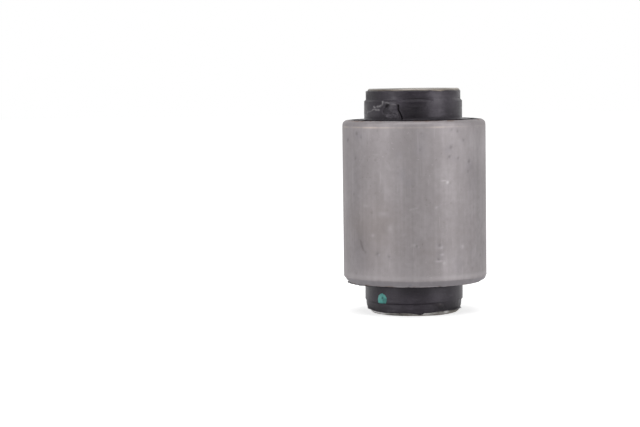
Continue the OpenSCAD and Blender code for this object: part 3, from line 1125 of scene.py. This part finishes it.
def paint_dab(ring):
    """A dab of paint on the lower neck: a thin skin that follows the rubber."""
    turns = np.radians(np.arange(-147, -124, 0.25))
    levels = np.arange(3.9, 8.6, 0.1) * MM
    under = neck_surface(ring, turns, levels)
    turn, level = np.meshgrid(turns, levels)
    x = (turn - math.radians(DAB_PLACE)) * NECK_R / MM
    y = level / MM
    flat = np.stack([x, y, 0 * x], -1)
    depth = inside_outline(x, y, DAB) + 0.16 * layered(flat, 0.8, 101)
    thick = 0.03 + 0.05 * smooth(0, 0.5, depth) + 0.02 * layered(flat, 0.6, 103)
    outer = under + np.where(depth > 0, thick, thick + 0.6 * depth) * MM
    sides = [
        np.stack([radius * np.cos(turn), radius * np.sin(turn), level], -1)
        for radius in (outer, under - 0.15 * MM)
    ]
    thin = 0.5 * smooth(0.1, 1.0, x) * smooth(6.6, 5.6, y)
    thin = np.maximum(spot(np.hypot(x - 0.5, y - 6.1), 0.5), thin)
    # Painted highlight on the left side of the dab
    pale = 0.8 * smooth(0.6, -0.4, x) * spot(y - 6.3, 0.9)
    marks = {"thin": np.concatenate([thin, thin]), "pale": np.concatenate([pale, pale])}
    faces = slab_faces(depth[:-1, :-1] > -0.25)
    make_piece("paint_dab", np.concatenate(sides), faces, marks, dab_paint())


# Stage, light and camera
CAMERA_AT = (-33.15 * MM, -699.1 * MM, 84.9 * MM)
CAMERA_TILT = 4.105
CAMERA_ROLL = -0.732
CAMERA_LENS = 112.5
CENTRE = Vector((0, 0, TOP / 2))
WHITE = (1, 1, 1, 1)
# Light that comes from the front, from the sides and from the backdrop
FRONT_LEVEL = 0.2
SIDE_LEVEL = 0.7
BACK_LEVEL = 1.0
# The floor's half width, its grey, and the glow that the camera and reflections see
FLOOR_HALF = 3.0
FLOOR_GREY = 0.75
FLOOR_SEEN = 0.6
FLOOR_MIRRORED = 0.15
# Softboxes in front of the part, left and right, and above it, as name, degrees round
# the bore, degrees up, distance, width and height in metres, and watts
SOFTBOXES = [
    ("left_box", -141, 12, 0.8, 0.40, 0.7, 2.1),
    ("right_box", -37, 12, 0.8, 0.52, 0.7, 2.7),
    ("top_box", -90, 70, 0.9, 0.8, 0.8, 2.7),
]


def camera():
    """The photograph's view, looking slightly down."""
    data = bpy.data.cameras.new("camera")
    data.lens = CAMERA_LENS
    data.sensor_width = 36
    data.clip_start = 0.01
    data.clip_end = 20
    made = placed("camera", data)
    tilt = Matrix.Rotation(math.radians(90 - CAMERA_TILT), 4, "X")
    roll = Matrix.Rotation(math.radians(CAMERA_ROLL), 4, "Z")
    made.matrix_world = Matrix.Translation(CAMERA_AT) @ tilt @ roll
    bpy.context.scene.camera = made


def world():
    """A studio: a white backdrop behind the part, which also shows in its gloss, and a
    dimmer room round the rest of it. The camera sees white wherever it looks."""
    s = Shading(bpy.data.worlds.new("studio"))
    way = s.node("TexCoord").outputs["Generated"]
    back = s.node("SeparateXYZ", {"Vector": way}).outputs["Y"]
    room = s.ramp(back, -0.9, -0.5, FRONT_LEVEL, SIDE_LEVEL)
    path = s.node("LightPath").outputs
    mirrored = s.times(path["Is Glossy Ray"], s.ramp(back, 0.3, 0.8, 0, BACK_LEVEL))
    strength = s.most(room, mirrored, path["Is Camera Ray"])
    strength = s.most(strength, path["Is Transmission Ray"])
    light = s.node("Background", {"Color": WHITE, "Strength": strength})
    s.node("OutputWorld", {"Surface": light.outputs[0]})
    bpy.context.scene.world = s.owner


def floor():
    """A plain pale floor that looks white and keeps the part's shadow."""
    near, far = -FLOOR_HALF, FLOOR_HALF
    mesh = bpy.data.meshes.new("floor")
    corners = [(near, near, 0), (far, near, 0), (far, far, 0), (near, far, 0)]
    mesh.from_pydata(corners, [], [(0, 1, 2, 3)])
    s = Shading(bpy.data.materials.new("floor_paper"))
    path = s.node("LightPath").outputs
    seen = s.most(
        s.times(path["Is Camera Ray"], FLOOR_SEEN),
        s.times(path["Is Glossy Ray"], FLOOR_MIRRORED),
        s.times(path["Is Transmission Ray"], FLOOR_MIRRORED),
    )
    grey = (FLOOR_GREY, FLOOR_GREY, FLOOR_GREY, 1)
    paper = s.node("BsdfDiffuse", {"Color": grey})
    glow = s.node("Emission", {"Color": WHITE, "Strength": seen})
    both = s.node("AddShader", {0: paper.outputs[0], 1: glow.outputs[0]})
    s.node("OutputMaterial", {"Surface": both.outputs[0]})
    mesh.materials.append(s.owner)
    placed("floor", mesh)


def softbox(name, turn, lift, distance, width, height, power):
    """A lamp with a broad face at a place round the part, turned to its middle."""
    data = bpy.data.lights.new(name, "AREA")
    data.shape = "RECTANGLE"
    data.size = width
    data.size_y = height
    data.energy = power
    made = placed(name, data)
    flat = math.cos(math.radians(lift)) * distance
    made.location = CENTRE + Vector((
        flat * math.cos(math.radians(turn)),
        flat * math.sin(math.radians(turn)),
        math.sin(math.radians(lift)) * distance,
    ))
    facing = (CENTRE - made.location).to_track_quat("-Z", "Y")
    made.rotation_mode = "QUATERNION"
    made.rotation_quaternion = facing


outer_sleeve(sleeve_steel())
inner_sleeve(inner_steel())
rubber_body(bush_rubber())
world()
floor()
for values in SOFTBOXES:
    softbox(*values)
camera()
bpy.context.scene.view_settings.view_transform = "Standard"
